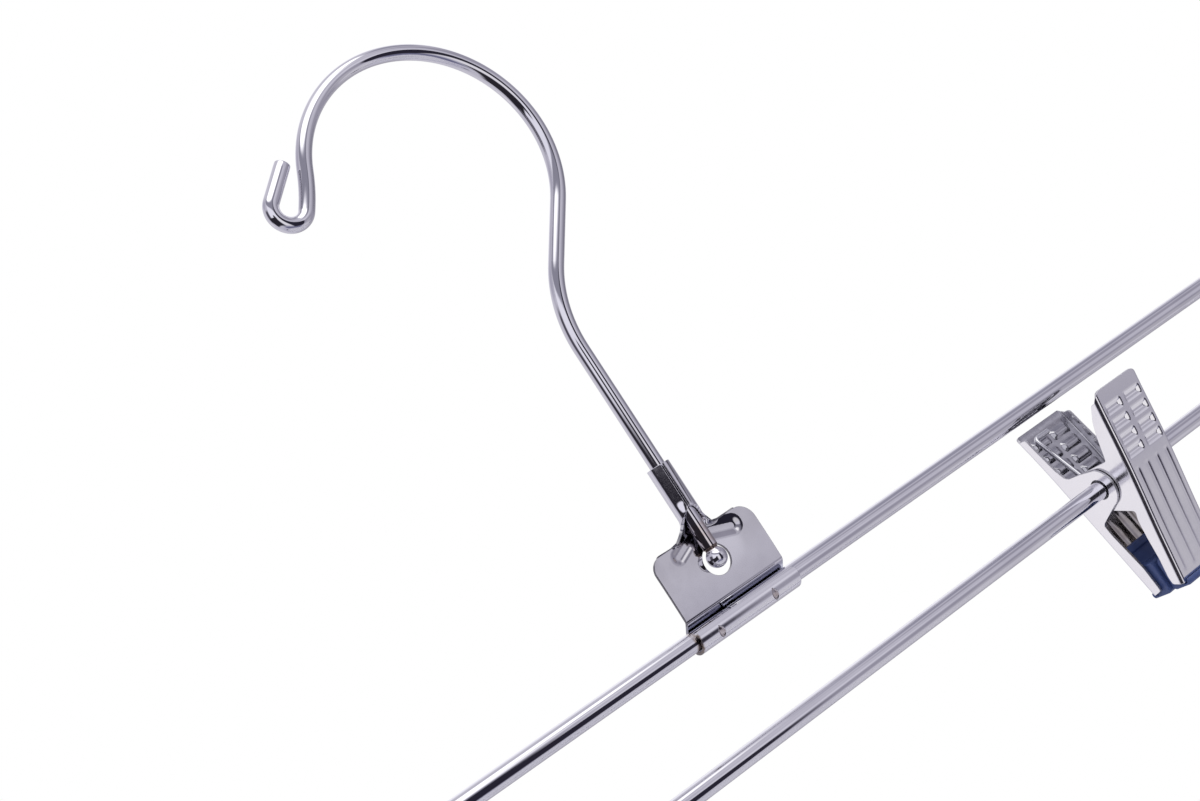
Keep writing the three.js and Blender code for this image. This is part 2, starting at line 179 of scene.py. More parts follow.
def chrome(name, light, dark, rough, wave, wave_scale, stretch=(1, 1, 1), tint=None, edge_rough=None):
    """Plated steel: slow cloudy tone, fine haze in the gloss, faint waviness from drawing and stamping."""
    m, n = material(name)
    bsdf = n.new("ShaderNodeBsdfPrincipled")
    out = n.new("ShaderNodeOutputMaterial")
    n.link(bsdf.outputs[0], out.inputs["Surface"])
    coords = n.new("ShaderNodeTexCoord").outputs["Object"]
    cloud = n.noise(coords, 90.0, 3.0)
    base = n.mix(n.ramp(cloud, 0.35, 0.7), rgb(*light), rgb(*dark))
    if tint:
        base = tint(n, coords, base)
    n.link(base, bsdf.inputs["Base Color"])
    bsdf.inputs["Metallic"].default_value = 1.0
    haze = n.noise(coords, 900.0, 4.0, 0.6)
    rough = n.ramp(haze, 0.3, 0.75, rough[0], rough[1])
    if edge_rough:
        rough = n.math("MAXIMUM", rough, n.math("MULTIPLY", mark(n, "edge"), n.ramp(haze, 0.3, 0.75, *edge_rough)))
    n.link(rough, bsdf.inputs["Roughness"])
    mapping = n.new("ShaderNodeMapping")
    n.link(coords, mapping.inputs["Vector"])
    mapping.inputs["Scale"].default_value = stretch
    height = n.noise(mapping.outputs[0], wave_scale, 2.0)
    bump = n.new("ShaderNodeBump")
    bump.inputs["Strength"].default_value = 1.0
    bump.inputs["Distance"].default_value = wave
    n.link(height, bump.inputs["Height"])
    n.link(bump.outputs[0], bsdf.inputs["Normal"])
    return m


def bracket_stains_and_painted_light(n, coords, base):
    """Bare sheared edges on the plate and brown crimp marks, with painted light: shade darker towards the plate's
    top, shade in the recesses, dark reflection lines beside the ferrule's seam and a brown reflection at the sleeve's
    end.
    """
    x, y, z = working_frame(n, coords)
    patch = n.noise(coords, 1500.0, 3.0)
    # painted shade and reflection tone on the plate, darker towards its top and lighter beside the hole
    dx, dz = n.math("SUBTRACT", x, 3.9), n.math("SUBTRACT", z, 10.6)
    far = n.ramp(n.math("ADD", n.math("MULTIPLY", dx, dx), n.math("MULTIPLY", dz, dz)), 2.0, 18.0, 0.45, 1.0)
    painted_shade = n.math("MULTIPLY", n.ramp(z, 5.0, 14.5, 0.3, 0.72), n.math("MULTIPLY", far, between(n, z, 3.5, 15.9, 0.3)))
    painted_shade = n.math("MULTIPLY", painted_shade, n.ramp(n.noise(coords, 260.0, 3.0), 0.3, 0.7, 0.85, 1.1))
    painted_shade = n.math("MULTIPLY", painted_shade, n.math("SUBTRACT", 1.0, mark(n, "reverse")))
    base = n.mix(painted_shade, base, rgb(0.45, 0.435, 0.465))
    low = n.ramp(z, 16.8, 17.6, 0.85, 0.0)
    base = n.mix(n.math("MULTIPLY", mark(n, "edge"), low), base, rgb(0.085, 0.08, 0.095))
    # painted shade in the recess between the plate's bend and the sleeve
    deep = n.math("MULTIPLY", between(n, z, 1.0, 2.95, 0.12), between(n, y, -0.33, 1.75, 0.1))
    deep = n.math("MULTIPLY", deep, n.math("SUBTRACT", 1.0, mark(n, "reverse")))
    base = n.mix(n.math("MULTIPLY", deep, n.ramp(patch, 0.2, 0.7, 0.93, 0.8)), base, rgb(0.54, 0.555, 0.63))
    # painted shade and dark reflection in the hollow beside the shank's foot
    hollow_shade = n.math("MAXIMUM", n.ramp(n.math("ADD", z, n.math("MULTIPLY", x, 0.93)), 11.9, 12.7),
                    n.ramp(n.math("ADD", z, n.math("MULTIPLY", x, 4.4)), 3.4, 5.2))
    hollow_shade = n.math("MULTIPLY", hollow_shade, n.math("MULTIPLY", between(n, z, 11.6, 18.9, 0.4), n.ramp(x, -0.3, 0.2, 1.0, 0.0)))
    hollow_shade = n.math("MULTIPLY", hollow_shade, n.math("SUBTRACT", 1.0, mark(n, "reverse")))
    base = n.mix(n.math("MULTIPLY", hollow_shade, n.ramp(patch, 0.2, 0.7, 0.92, 0.75)), base, rgb(0.075, 0.078, 0.11))
    # dark lines painted along the ferrule beside its seam, standing in for dark reflections
    line = n.math("MAXIMUM", between(n, x, -0.27, -0.02, 0.06),
                  between(n, n.math("SUBTRACT", x, n.math("MULTIPLY", z, 0.05)), -0.86, -0.54, 0.08))
    line = n.math("MULTIPLY", line, n.math("MULTIPLY", n.ramp(z, 20.2, 21.0), n.ramp(y, -3.7, -3.4, 1.0, 0.0)))
    base = n.mix(n.math("MULTIPLY", line, n.ramp(patch, 0.3, 0.7, 0.9, 0.7)), base, rgb(0.10, 0.095, 0.105))
    base = n.mix(n.math("MULTIPLY", mark(n, "crimp"), n.ramp(patch, 0.3, 0.65, 0.9, 0.55)), base, rgb(0.44, 0.37, 0.355))
    # painted brown reflection at the sleeve's end
    end = n.math("MULTIPLY", n.ramp(x, -12.05, -11.75, 1.0, 0.0), n.ramp(patch, 0.3, 0.6, 0.9, 0.25))
    return n.mix(end, base, rgb(0.20, 0.145, 0.11))


def wire_painted_reflection(n, coords, base):
    """Painted brown reflection: a ring on the bar where the sleeve's end bites it."""
    x, y, z = working_frame(n, coords)
    patch = n.noise(coords, 1500.0, 3.0)
    ring = n.math("MULTIPLY", between(n, x, -13.0, -11.9, 0.25), n.ramp(z, -4.0, -3.0))
    return n.mix(n.math("MULTIPLY", ring, n.ramp(patch, 0.35, 0.6, 0.85, 0.3)), base, rgb(0.30, 0.22, 0.16))


def hook_painted_reflection(n, coords, base):
    """Painted brownish reflection at the foot of the shank, with darker painted shade on its rim."""
    x, y, z = working_frame(n, coords)
    patch = n.noise(coords, 1200.0, 3.0)
    foot = n.math("MULTIPLY", between(n, z, 11.6, 17.0, 0.5), n.ramp(patch, 0.35, 0.65, 0.35, 0.75))
    base = n.mix(foot, base, rgb(0.62, 0.52, 0.49))
    return n.mix(between(n, z, 11.7, 12.35, 0.12), base, rgb(0.22, 0.17, 0.15))


def lever_edges_and_painted_shade(n, coords, base):
    """Painted shade inside the channel, browner towards the jaw; darker sheared edges."""
    x, y, z = working_frame(n, coords)
    patch = n.noise(coords, 600.0, 3.0)
    # painted shade on the inner face, turning brown towards the jaw
    inner = mark(n, "reverse")
    low = n.ramp(z, -30.0, -24.0, 1.0, 0.0)
    painted_shade = n.mix(low, rgb(0.46, 0.455, 0.49), rgb(0.40, 0.36, 0.33))
    base = n.mix(n.math("MULTIPLY", inner, n.ramp(patch, 0.3, 0.7, 0.95, 0.75)), base, painted_shade)
    return n.mix(n.math("MULTIPLY", mark(n, "edge"), 0.4), base, rgb(0.42, 0.41, 0.45))


CHROME_WIRE = chrome("chrome_wire", (0.785, 0.775, 0.82), (0.735, 0.725, 0.775), (0.035, 0.07), 0.000004, 260.0, (0.25, 1, 1), wire_painted_reflection)
CHROME_HOOK = chrome("chrome_hook", (0.795, 0.785, 0.83), (0.745, 0.735, 0.785), (0.025, 0.05), 0.000004, 260.0, (1, 1, 0.25), hook_painted_reflection)
CHROME_SHEET = chrome("chrome_sheet", (0.83, 0.82, 0.86), (0.79, 0.78, 0.83), (0.045, 0.08), 0.000004, 220.0, (1, 1, 1), bracket_stains_and_painted_light)
CHROME_LEVER = chrome("chrome_lever", (0.97, 0.96, 0.98), (0.93, 0.92, 0.95), (0.12, 0.18), 0.000005, 240.0, (1, 1, 0.4), lever_edges_and_painted_shade, (0.35, 0.5))
SPRING_STEEL = chrome("spring_steel", (0.72, 0.72, 0.75), (0.62, 0.62, 0.66), (0.12, 0.22), 0.000004, 900.0)


def pvc():
    """Soft navy plastic: mottled dye, satin gloss and a fine moulded texture."""
    m, n = material("navy_pvc")
    bsdf = n.new("ShaderNodeBsdfPrincipled")
    out = n.new("ShaderNodeOutputMaterial")
    n.link(bsdf.outputs[0], out.inputs["Surface"])
    coords = n.new("ShaderNodeTexCoord").outputs["Object"]
    cloud = n.noise(coords, 350.0, 4.0)
    n.link(n.mix(n.ramp(cloud, 0.3, 0.7), rgb(0.085, 0.130, 0.330), rgb(0.068, 0.108, 0.280)), bsdf.inputs["Base Color"])
    fine = n.noise(coords, 2600.0, 3.0)
    n.link(n.ramp(fine, 0.3, 0.7, 0.34, 0.5), bsdf.inputs["Roughness"])
    bsdf.inputs["IOR"].default_value = 1.5
    bump = n.new("ShaderNodeBump")
    bump.inputs["Strength"].default_value = 1.0
    bump.inputs["Distance"].default_value = 0.000012
    n.link(fine, bump.inputs["Height"])
    n.link(bump.outputs[0], bsdf.inputs["Normal"])
    return m


PVC = pvc()


# --------------------------------------------------------------- mesh building
def put(name, verts, faces, mat, body, node, normals=None, sharp=40.0, blend=None, marks=None):
    me = bpy.data.meshes.new(name)
    me.from_pydata([tuple(v) for v in row(verts)], [], [tuple(f) for f in faces])
    me.validate()
    me.polygons.foreach_set("use_smooth", [True] * len(me.polygons))
    me.materials.append(mat)
    for key, values in (marks or {}).items():
        me.attributes.new(key, "FLOAT", "POINT").data.foreach_set("value", np.asarray(values, float))
    if normals is None:
        me.set_sharp_from_angle(angle=rad(sharp))
    else:
        me.normals_split_custom_set_from_vertices([tuple(v) for v in normals])
    me.update()
    ob = bpy.data.objects.new(name, me)
    bpy.context.scene.collection.objects.link(ob)
    if blend:
        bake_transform(ob)
    else:
        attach(ob, body)
    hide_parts(node)
    return ob


def tube(points, radii, sides, tangents=None, side=(0, 1, 0)):
    """Round section swept along stations. Stations may share a place and differ in radius."""
    p = np.asarray(points, float)
    n = len(p)
    r = np.broadcast_to(np.asarray(radii, float), n)
    if tangents is None:
        d = np.diff(p, axis=0)
        d /= np.linalg.norm(d, axis=1)[:, None]
        t = np.vstack([d[:1], d[:-1] + d[1:], d[-1:]])
    else:
        t = np.asarray(tangents, float)
    t = t / np.linalg.norm(t, axis=1)[:, None]
    u = np.asarray(side, float)
    frames = []
    for k in range(n):
        u = u - t[k] * np.dot(u, t[k])
        u = u / np.linalg.norm(u)
        frames.append(u)
    u = np.array(frames)
    w = np.cross(t, u)
    a = np.linspace(0, 2 * np.pi, sides, endpoint=False)
    ring = u[:, None, :] * np.cos(a)[None, :, None] + w[:, None, :] * np.sin(a)[None, :, None]
    verts = (p[:, None, :] + ring * r[:, None, None]).reshape(-1, 3)
    faces = []
    for k in range(n - 1):
        for i in range(sides):
            j = (i + 1) % sides
            faces.append((k * sides + i, k * sides + j, (k + 1) * sides + j, (k + 1) * sides + i))
    faces.append(tuple(range(sides - 1, -1, -1)))
    faces.append(tuple((n - 1) * sides + i for i in range(sides)))
    return verts, faces


def round_poly(points, step=0.12):
    """Closed polygon of (x, y, corner radius), corners turned into arcs."""
    out = []
    n = len(points)
    for i, (x, y, r) in enumerate(points):
        p = np.array([x, y])
        if r <= 0:
            out.append(p)
            continue
        a = np.array(points[i - 1][:2]) - p
        b = np.array(points[(i + 1) % n][:2]) - p
        la, lb = np.linalg.norm(a), np.linalg.norm(b)
        a, b = a / la, b / lb
        half = math.acos(max(-1, min(1, float(np.dot(a, b))))) / 2
        if half > rad(88):
            out.append(p)
            continue
        d = min(r / math.tan(half), 0.48 * la, 0.48 * lb)
        rr = d * math.tan(half)
        m = (a + b) / np.linalg.norm(a + b)
        c = p + m * (rr / math.sin(half))
        p0, p1 = p + a * d, p + b * d
        a0 = math.atan2(*(p0 - c)[::-1])
        a1 = math.atan2(*(p1 - c)[::-1])
        turn = (a1 - a0 + math.pi) % (2 * math.pi) - math.pi
        k = max(2, int(abs(turn) * rr / step))
        k = min(k, 24)
        for q in range(k + 1):
            ang = a0 + turn * q / k
            out.append(c + rr * np.array([math.cos(ang), math.sin(ang)]))
    return np.array(out)


def resample(loop, step):
    """Adds points so that no side of a closed loop is longer than step."""
    out = []
    n = len(loop)
    for i in range(n):
        a, b = loop[i], loop[(i + 1) % n]
        k = max(1, int(math.ceil(np.linalg.norm(b - a) / step)))
        for q in range(k):
            out.append(a + (b - a) * q / k)
    return np.array(out)


def clean(loop, tol=0.02):
    keep = [loop[0]]
    for p in loop[1:]:
        if np.linalg.norm(p - keep[-1]) > tol:
            keep.append(p)
    if np.linalg.norm(keep[0] - keep[-1]) <= tol:
        keep.pop()
    return np.array(keep)


def area(loop):
    x, y = loop[:, 0], loop[:, 1]
    return 0.5 * float(np.sum(x * np.roll(y, -1) - np.roll(x, -1) * y))


def outward(loop):
    """Unit normals on the right of the direction of travel."""
    d = np.roll(loop, -1, 0) - loop
    d /= np.linalg.norm(d, axis=1)[:, None]
    e = np.roll(d, 1, 0)
    nd, ne = np.stack([d[:, 1], -d[:, 0]], 1), np.stack([e[:, 1], -e[:, 0]], 1)
    m = nd + ne
    m /= np.linalg.norm(m, axis=1)[:, None]
    scale = 1 / np.clip(np.sum(m * nd, axis=1), 0.6, 1)
    return m, scale


def inside(loops, pts):
    hit = np.zeros(len(pts), bool)
    for lp in loops:
        a, b = lp, np.roll(lp, -1, 0)
        for (ax, ay), (bx, by) in zip(a, b):
            c = (ay > pts[:, 1]) != (by > pts[:, 1])
            if ay != by:
                xx = ax + (pts[:, 1] - ay) * (bx - ax) / (by - ay)
                hit ^= c & (pts[:, 0] < xx)
    return hit


def gap(loops, pts):
    """Distance from points to the nearest side."""
    best = np.full(len(pts), 1e9)
    for lp in loops:
        for a, b in zip(lp, np.roll(lp, -1, 0)):
            d = b - a
            k = np.clip(((pts - a) @ d) / max(float(d @ d), 1e-12), 0, 1)
            best = np.minimum(best, np.linalg.norm(pts - a - k[:, None] * d, axis=1))
    return best


def mesh_area(loops, extra):
    """Triangles over a region given by its boundary loops and extra inner points."""
    pts, edges = [], []
    for lp in loops:
        k, m = len(pts), len(lp)
        pts.extend(lp)
        edges.extend((k + i, k + (i + 1) % m) for i in range(m))
    pts = np.array(list(pts) + list(extra))
    v, _, f, ov, _, _ = delaunay_2d_cdt([Vector(p) for p in pts], edges, [], 0, 1e-7)
    lost = [tuple(round(c, 3) for c in v[i]) for i, o in enumerate(ov) if not o]
    if lost:
        raise ValueError("outline crosses itself near %s" % lost[:6])
    back = [o[0] for o in ov]
    tris = np.array([[back[i] for i in t] for t in f])
    keep = inside(loops, pts[tris].mean(axis=1))
    tris = tris[keep]
    p = pts[tris]
    s = (p[:, 1, 0] - p[:, 0, 0]) * (p[:, 2, 1] - p[:, 0, 1]) - (p[:, 1, 1] - p[:, 0, 1]) * (p[:, 2, 0] - p[:, 0, 0])
    tris[s < 0] = tris[s < 0][:, ::-1]
    return pts, tris[np.abs(s) > 1e-9]


def sheet(loops, extra, mid, thick, edge, dent=None):
    """Sheet metal from its flat pattern.

    loops: outline and holes of the flat pattern; extra: inner points; mid maps
    flat points to the mid-surface in space. The two faces stand half the
    thickness off it and the sheared edges are rounded by `edge`.
    dent gives how far the reverse face is pressed in. The last result marks
    the reverse face, the sheared edges and the dents vertex by vertex.
    """
    loops = [clean(lp) for lp in loops]
    loops = [lp if (area(lp) > 0) == (i == 0) else lp[::-1] for i, lp in enumerate(loops)]
    ins = []
    for lp in loops:
        m, k = outward(lp)
        ins.append(lp - m * (edge * k)[:, None])
    extra = np.asarray(extra, float)
    if len(extra):
        extra = extra[inside(ins, extra)]
        extra = extra[gap(ins, extra) > 0.09]
    pts, tris = mesh_area(ins, extra)
    h = 1e-3
    ds, dh = np.array([h, 0]), np.array([0, h])

    def basis(f, q):
        fs = (f(q + ds) - f(q - ds)) / (2 * h)
        fh = (f(q + dh) - f(q - dh)) / (2 * h)
        c = np.cross(fs, fh)
        return fs, fh, c / np.linalg.norm(c, axis=1)[:, None]

    def face(sign):
        def f(q):
            n = basis(mid, q)[2]
            off = np.full(len(q), thick / 2)
            if dent is not None:
                off = off - dent(q) if sign < 0 else off + np.minimum(dent(q), 0.1)
            return mid(q) + n * (sign * off)[:, None]
        return f

    top, bot = face(1), face(-1)
    verts = [top(pts), bot(pts)]
    norms = [basis(top, pts)[2], -basis(bot, pts)[2]]
    n = len(pts)
    faces = [tuple(t) for t in tris] + [tuple(t[::-1] + n) for t in tris]
    reverse = [np.zeros(n), np.ones(n)]
    sheared = [np.zeros(2 * n)]
    crimp = [np.zeros(n), np.zeros(n) if dent is None else smooth(dent(pts) / 0.12)]
    count = 2 * n
    start = 0
    for lp, inn in zip(loops, ins):
        m, k = outward(lp)
        L = len(lp)
        rings = [np.arange(start, start + L)]
        for inset, height, lift in (
            (0.293 * edge, thick / 2 - 0.293 * edge, 1),
            (0, thick / 2 - edge, 0),
            (0, edge - thick / 2, 0),
            (0.293 * edge, 0.293 * edge - thick / 2, -1),
        ):
            q = lp - m * (inset * k)[:, None]
            fs, fh, nn = basis(mid, q)
            o = fs * m[:, :1] + fh * m[:, 1:]
            o -= nn * np.sum(o * nn, axis=1)[:, None]
            o /= np.linalg.norm(o, axis=1)[:, None]
            verts.append(mid(q) + nn * height)
            c = o + nn * lift
            norms.append(c / np.linalg.norm(c, axis=1)[:, None])
            rings.append(np.arange(count, count + L))
            reverse.append(np.full(L, 0.5 - 0.5 * lift))
            sheared.append(np.ones(L))
            crimp.append(np.zeros(L))
            count += L
        rings.append(np.arange(start + n, start + n + L))
        for a, b in zip(rings[:-1], rings[1:]):
            for i in range(L):
                j = (i + 1) % L
                faces.append((b[i], b[j], a[j], a[i]))
        start += L
    marks = {"reverse": np.concatenate(reverse), "edge": np.concatenate(sheared), "crimp": np.concatenate(crimp)}
    return np.vstack(verts), faces, np.vstack(norms), marks


def smooth(x):
    x = np.clip(x, 0, 1)
    return x * x * (3 - 2 * x)


def grid(x0, x1, dx, y0, y1, dy):
    """Staggered points over a rectangle."""
    out = []
    for j, y in enumerate(np.arange(y0, y1 + 1e-9, dy)):
        for x in np.arange(x0 + (0.5 * dx if j % 2 else 0), x1 + 1e-9, dx):
            out.append((x, y))
    return np.array(out)


# ------------------------------------------------------------------ frame wire
def build_frame_wire():
    r = BAR_SPACING / 2
    cx = FRAME_WIDTH / 2 - BAR_R - r
    pts, rr = [], []

    def add(x, z, radius=BAR_R):
        pts.append((x, 0, z))
        rr.append(radius)

    x0, x1 = BUTT_X + BUTT_GAP / 2, BUTT_X - BUTT_GAP / 2
    add(x0, 0, BAR_R - 0.15)
    add(x0 + 0.05, 0, BAR_R - 0.05)
    add(x0 + 0.15, 0)
    for x in np.linspace(x0 + 3, cx - 3, 40):
        add(x, 0)
    for a in np.linspace(90, -90, 61):
        add(cx + r * math.cos(rad(a)), -r + r * math.sin(rad(a)))
    for x in np.linspace(cx - 3, -cx + 3, 80):
        add(x, -BAR_SPACING)
    for a in np.linspace(-90, -270, 61):
        add(-cx + r * math.cos(rad(a)), -r + r * math.sin(rad(a)))
    for x in np.linspace(-cx + 3, x1 - 3, 40):
        add(x, 0)
    add(x1 - 0.15, 0)
    add(x1 - 0.05, 0, BAR_R - 0.05)
    add(x1, 0, BAR_R - 0.15)
    v, f = tube(pts, rr, 40)
    put("wire_loop", v, f, CHROME_WIRE, "frame", "frame_wire")


# ------------------------------------------------------------------------ hook
def build_hook():
    pts, rr, tt = [], [], []

    def add(x, z, h, radius=HOOK_R):
        pts.append((x, SHANK_Y, z))
        rr.append(radius)
        tt.append((math.cos(h), 0, math.sin(h)))

    up = math.pi / 2
    # upset ball, neck and the square shoulder under the shank
    for a in np.linspace(-88, 50, 24):
        add(SHANK_X, 10.1 + 1.95 * math.sin(rad(a)), up, 1.95 * math.cos(rad(a)))
    for z, r in ((11.75, 1.2), (11.9, 1.2), (12.02, 1.26), (12.08, 1.36), (12.14, 1.43), (12.24, 1.466), (12.36, HOOK_R)):
        add(SHANK_X, z, up, r)
    state = [SHANK_X, 12.36, up]

    def line(length, step=2.0):
        x, z, h = state
        k = max(1, int(length / step))
        for i in range(1, k + 1):
            d = length * i / k
            add(x + d * math.cos(h), z + d * math.sin(h), h)
        state[0], state[1] = x + length * math.cos(h), z + length * math.sin(h)

    def arc(radius, degrees, step=2.5):
        x, z, h0 = state
        s = 1 if degrees > 0 else -1
        c = (x - s * radius * math.sin(h0), z + s * radius * math.cos(h0))
        k = max(4, int(abs(degrees) / step))
        for i in range(1, k + 1):
            h = h0 + rad(degrees) * i / k
            add(c[0] + s * radius * math.sin(h), c[1] - s * radius * math.cos(h), h)
        state[0], state[1], state[2] = pts[-1][0], pts[-1][2], h0 + rad(degrees)

    line(53.94 - 12.36)
    arc(25.47, -37.6)
    line(12.94)
    arc(23.79, 192.08)
    arc(38.92, -11.35, 1.5)
    arc(3.15, -190.9, 6)
    line(7.6 - 0.25, 1.0)
    x, z, h = state
    for d, r in ((0.1, HOOK_R - 0.02), (0.19, HOOK_R - 0.08), (0.25, HOOK_R - 0.2)):
        add(x + d * math.cos(h), z + d * math.sin(h), h, r)
    v, f = tube(pts, rr, 40, tt)
    put("hook_wire", v, f, CHROME_HOOK, "hook", "hook", sharp=50)


# --------------------------------------------------------------------- bracket
CURL_START, CURL_END = 15.1, 19.2
GROOVES = (((1.4, 15.2), (7.35, 13.3), 2.25, 0.42), ((-1.6, 15.3), (-5.7, 13.66), 1.75, 0.3))
HOLE = (0.68, 9.68, 2.88)
FLAP_TURN, FLAP_CORNER, FLAP_FLAT = rad(112), 0.8, rad(140)
DENTS = ((-7.35, -1.1), (6.0, -1.1))


def build_bracket():
    bend = math.atan2(0.7361, 0.6769)
    l1 = BEND_RADIUS * bend
    e1 = np.array([PLATE_Y + BEND_RADIUS - BEND_RADIUS * math.cos(bend), BEND_Z - BEND_RADIUS * math.sin(bend)])
    touch = math.pi / 2 - bend
    tp = SLEEVE_R * np.array([math.cos(touch), math.sin(touch)])
    jog = np.array([math.sin(bend), -math.cos(bend)])
    l2 = float((tp - e1) @ jog)
    roll = touch + rad(180 + 31.4)
    l3 = SLEEVE_R * roll
    h_end = BEND_Z - l1 - l2 - l3

    def height_of_angle(a):
        """Flat height of a point on the sleeve, from its angle."""
        return BEND_Z - l1 - l2 - SLEEVE_R * (touch - a)

    def groove(s, h):
        out = np.zeros_like(s)
        for (ax, ay), (bx, by), w, depth in GROOVES:
            ax, bx = ax - SHANK_X, bx - SHANK_X
            d = np.array([bx - ax, by - ay])
            k = np.clip(((s - ax) * d[0] + (h - ay) * d[1]) / (d @ d), 0, 1)
            r = np.hypot(s - ax - k * d[0], h - ay - k * d[1])
            out += depth * smooth(1.25 * (1 - r / w))
        return out * (1 - smooth((h - 15.9) / 1.5))

    def flap(u):
        """Left flap of the ferrule across the sheet: round the back, then pressed flat over the shank."""
        r, c = FERRULE_R, FLAP_CORNER
        s0 = r * FLAP_TURN
        s1 = s0 + c * (FLAP_FLAT - FLAP_TURN)
        a = np.minimum(u, s0) / r
        px, py = r * np.sin(a), r - r * np.cos(a)
        b = FLAP_TURN + np.clip(u - s0, 0, s1 - s0) / c
        cx, cy = (r - c) * math.sin(FLAP_TURN), r - (r - c) * math.cos(FLAP_TURN)
        px = np.where(u > s0, cx + c * np.sin(b), px)
        py = np.where(u > s0, cy - c * np.cos(b), py)
        e = np.maximum(u - s1, 0)
        return px + e * math.cos(FLAP_FLAT), py + e * math.sin(FLAP_FLAT)

    def mid(q):
        s, h = q[:, 0], q[:, 1]
        x = SHANK_X + s
        y = np.full(len(s), PLATE_Y)
        z = h.copy()
        # neck rolled forward into the ferrule
        k = smooth((h - CURL_START) / (CURL_END - CURL_START)) / FERRULE_R
        win = 1 - smooth((np.abs(s) - 4.2) / 1.6) * (1 - smooth((h - 15.6) / 0.6))
        k = np.maximum(k, 1e-9)
        a = k * s
        up = h > 15.0
        x = np.where(up, SHANK_X + s + (np.sin(a) / k - s) * win, x)
        y = np.where(up, PLATE_Y - (1 - np.cos(a)) / k * win, y)
        px, py = flap(np.abs(s))
        f = smooth((h - 19.6) / 2.2) * (s < 0)
        x = x + f * (SHANK_X - px - x)
        y = y + f * (PLATE_Y - py - y)
        y = y + groove(s, h) - 0.1 * np.sin(np.pi * np.clip((h - BEND_Z) / 11.9, 0, 1))
        # lower edge: bend, jog, then the sleeve round the bar
        l = BEND_Z - h
        a = np.clip(l / BEND_RADIUS, 0, bend)
        y = np.where(l > 0, PLATE_Y + BEND_RADIUS - BEND_RADIUS * np.cos(a), y)
        z = np.where(l > 0, BEND_Z - BEND_RADIUS * np.sin(a), z)
        b = np.clip(l - l1, 0, l2)
        y = y + b * jog[0]
        z = z + b * jog[1]
        c = touch - (l - l1 - l2) / SLEEVE_R
        roll_on = l > l1 + l2
        y = np.where(roll_on, SLEEVE_R * np.cos(c), y)
        z = np.where(roll_on, SLEEVE_R * np.sin(c), z)
        return np.stack([x, y, z], 1)

    def dent(q):
        s, h = q[:, 0], q[:, 1]
        out = np.zeros(len(s))
        for dx, dz in DENTS:
            a = -math.pi - math.asin(max(-1, min(1, dz / SLEEVE_R)))
            hc = height_of_angle(a)
            u, v = (s + SHANK_X - dx), (h - hc)
            u = u - 0.18 * v
            w = 0.78 * np.clip(1 - (v / 1.25) ** 2, 1e-3, None)
            out += 0.3 * smooth((1 - np.abs(u) / w) * 1.9) * (np.abs(v) < 1.25)
        return out

    x = lambda v: v - SHANK_X
    right = [
        (x(12.4), h_end, 0.8),
        (x(12.4), height_of_angle(rad(-60)), 0.6),
        (x(12.5), height_of_angle(rad(20)), 0.6),
        (x(12.5), 3.7, 0),
        (x(12.5), 15.68, 4.0),
        (5.7, 15.68, 1.0),
        (4.4, 15.85, 0.6),
        (3.86, 16.5, 0.8),
        (3.42, 17.35, 1.2),
        (3.36, 18.1, 0.9),
        (3.9, 18.85, 0.7),
        (5.4, 19.95, 1.0),
        (6.5, 20.35, 0.5),
        (6.5, FERRULE_TOP, 0.25),
    ]
    left = [
        (-5.65, FERRULE_TOP, 0.25),
        (-5.6, 20.1, 0.5),
        (-4.8, 19.55, 1.0),
        (-3.9, 18.85, 0.7),
        (-3.36, 18.1, 0.9),
        (-3.42, 17.35, 1.2),
        (-3.86, 16.5, 0.8),
        (-4.4, 15.85, 0.6),
        (-5.7, 15.68, 1.0),
        (x(-11.5), 15.68, 4.0),
        (x(-11.5), 3.7, 0),
        (x(-11.5), height_of_angle(rad(20)), 0.6),
        (x(-12.2), height_of_angle(rad(-60)), 0.6),
        (x(-12.2), h_end, 0.8),
    ]
    outline = resample(round_poly(right + left), 0.35)
    hole = np.array([(HOLE[0] - SHANK_X + HOLE[2] * math.cos(a), HOLE[1] + HOLE[2] * math.sin(a)) for a in np.linspace(0, 2 * np.pi, 96, endpoint=False)])
    inner = [
        grid(-11.3, 12.5, 0.6, BEND_Z + 0.45, 11.2, 0.6),
        grid(-11.3, 12.5, 0.26, 11.2, 15.6, 0.26),
        grid(-6.4, 6.4, 0.2, 15.6, 20.4, 0.2),
        grid(-6.4, 6.4, 0.2, 20.6, FERRULE_TOP - 0.2, 0.7),
        grid(-12.1, 12.5, 0.5, BEND_Z - l1 - 0.1, BEND_Z + 0.15, 0.06),
        grid(-12.1, 12.5, 1.2, BEND_Z - l1 - l2, BEND_Z - l1 - 0.4, 0.7),
        grid(-12.1, 12.5, 0.9, h_end + 0.2, BEND_Z - l1 - l2, 0.14),
    ]
    hc = height_of_angle(-math.pi - math.asin(-1.1 / SLEEVE_R))
    for dx, _ in DENTS:
        inner.append(grid(dx - SHANK_X - 1.2, dx - SHANK_X + 1.2, 0.07, hc - 1.3, hc + 1.3, 0.09))
    v, f, n, k = sheet([outline, hole], np.vstack(inner), mid, SHEET, 0.09, dent)
    put("bracket_sheet", v, f, CHROME_SHEET, "frame", "bracket", normals=n, marks=k)


# ----------------------------------------------------------------------- clips
GRIP_ROWS = (3.85, 7.1, 10.3, 13.3)
GRIP_X = (-2.95, 2.95)
GRIP_HALF = (2.65, 1.3)
GRIP_SOFT = 1.15
GRIP_DEEP = {"back": 0.6, "front": 0.45}
GROOVE_X = (-4.5, -1.5, 1.5, 4.5)
GROOVE = {"back": (0.25, 0.7, 0.35), "front": (0.085, 0.45, 0.0)}  # depth, half width, shift along X
GROOVE_V = (16.2, 39.8)


def to_qv(y, z):
    ry, rz = y - LEVER_TOP[0], z - LEVER_TOP[1]
    return -ry * math.cos(LEAN) + rz * math.sin(LEAN), -(ry * math.sin(LEAN) + rz * math.cos(LEAN))


